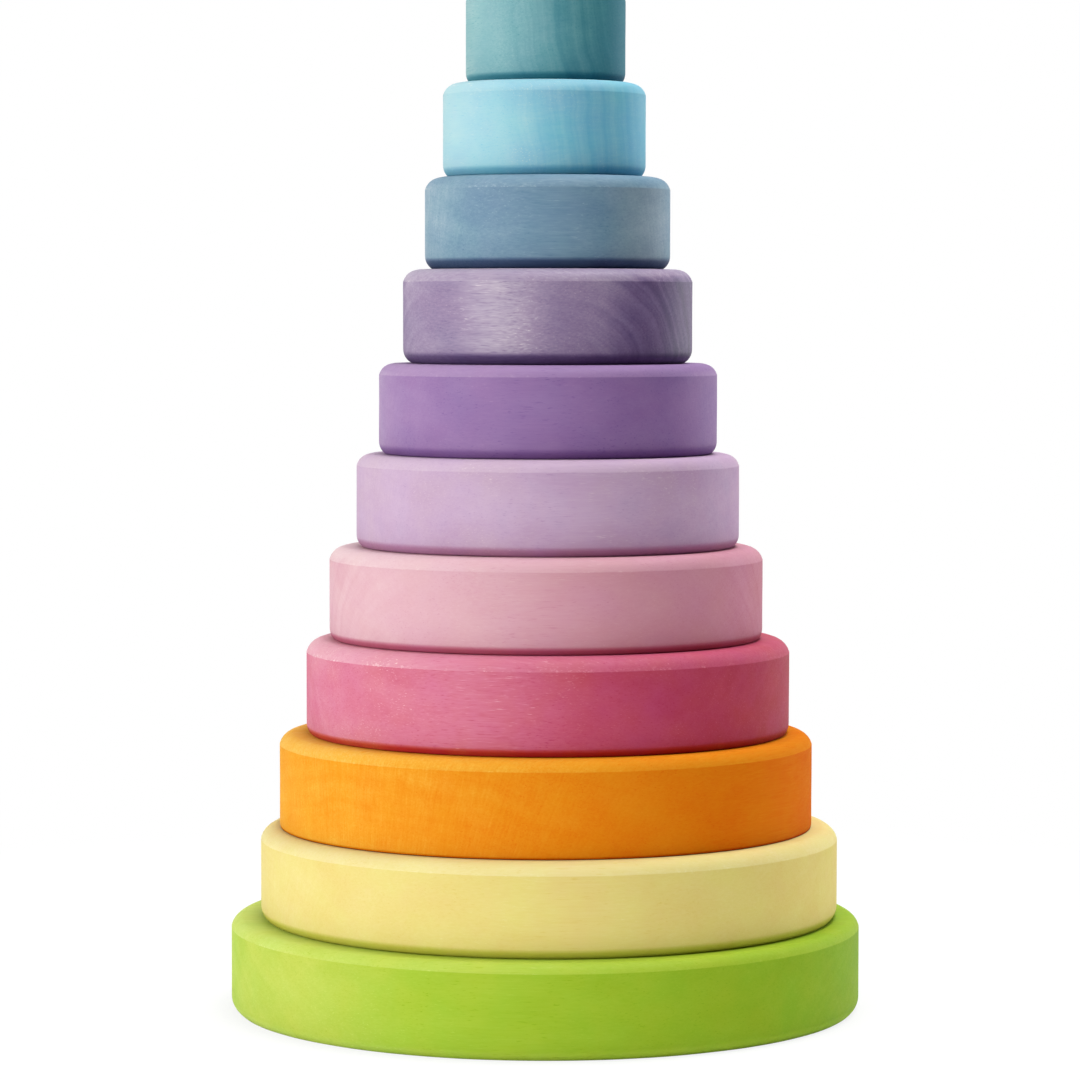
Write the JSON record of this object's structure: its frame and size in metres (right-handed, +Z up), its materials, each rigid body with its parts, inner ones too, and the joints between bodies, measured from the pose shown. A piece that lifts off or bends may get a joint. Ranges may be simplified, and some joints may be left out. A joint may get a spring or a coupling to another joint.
{
  "type": "stacking tower",
  "caption": "Conical stacking tower of turned, stained wooden rings that lift off a dowel fixed in a round base.",
  "frame": {"origin": "centre of the base's underside, on the dowel's axis", "axes": "+Z up along the dowel, +X to the right and +Y away as seen from the front"},
  "size_m": [0.13, 0.13, 0.2095],
  "materials": {
    "green_stain": "matte green water stain, grain showing",
    "natural_wood": "bare pale wood, sanded",
    "yellow_stain": "matte pale yellow water stain, grain showing",
    "orange_stain": "matte orange water stain, grain showing",
    "raspberry_stain": "matte raspberry water stain, grain showing",
    "rose_stain": "matte rose water stain, grain showing",
    "lilac_stain": "matte lilac water stain, grain showing",
    "purple_stain": "matte purple water stain, grain showing",
    "violet_stain": "matte greyed violet water stain, growth rings showing",
    "slate_stain": "matte slate blue water stain, grain showing",
    "aqua_stain": "matte pale aqua water stain, grain showing",
    "teal_stain": "matte teal water stain, grain showing"
  },
  "bodies": {
    "base": {"base_disc": "green_stain", "centre_dowel": "natural_wood"},
    "yellow": {"ring_yellow": "yellow_stain"},
    "orange": {"ring_orange": "orange_stain"},
    "raspberry": {"ring_raspberry": "raspberry_stain"},
    "rose": {"ring_rose": "rose_stain"},
    "lilac": {"ring_lilac": "lilac_stain"},
    "purple": {"ring_purple": "purple_stain"},
    "violet": {"ring_violet": "violet_stain"},
    "slate": {"ring_slate": "slate_stain"},
    "aqua": {"ring_aqua": "aqua_stain"},
    "teal": {"ring_teal": "teal_stain"}
  },
  "joints": [
    {"name": "lift_yellow", "type": "slide", "parent": "base", "child": "yellow", "axis": [0, 0, 1], "range_m": [0, 0.1928]},
    {"name": "lift_orange", "type": "slide", "parent": "yellow", "child": "orange", "axis": [0, 0, 1], "range_m": [0, 0.1741]},
    {"name": "lift_raspberry", "type": "slide", "parent": "orange", "child": "raspberry", "axis": [0, 0, 1], "range_m": [0, 0.1548]},
    {"name": "lift_rose", "type": "slide", "parent": "raspberry", "child": "rose", "axis": [0, 0, 1], "range_m": [0, 0.1353]},
    {"name": "lift_lilac", "type": "slide", "parent": "rose", "child": "lilac", "axis": [0, 0, 1], "range_m": [0, 0.1164]},
    {"name": "lift_purple", "type": "slide", "parent": "lilac", "child": "purple", "axis": [0, 0, 1], "range_m": [0, 0.0973]},
    {"name": "lift_violet", "type": "slide", "parent": "purple", "child": "violet", "axis": [0, 0, 1], "range_m": [0, 0.0787]},
    {"name": "lift_slate", "type": "slide", "parent": "violet", "child": "slate", "axis": [0, 0, 1], "range_m": [0, 0.0594]},
    {"name": "lift_aqua", "type": "slide", "parent": "slate", "child": "aqua", "axis": [0, 0, 1], "range_m": [0, 0.0406]},
    {"name": "lift_teal", "type": "slide", "parent": "aqua", "child": "teal", "axis": [0, 0, 1], "range_m": [0, 0.0214]}
  ]
}
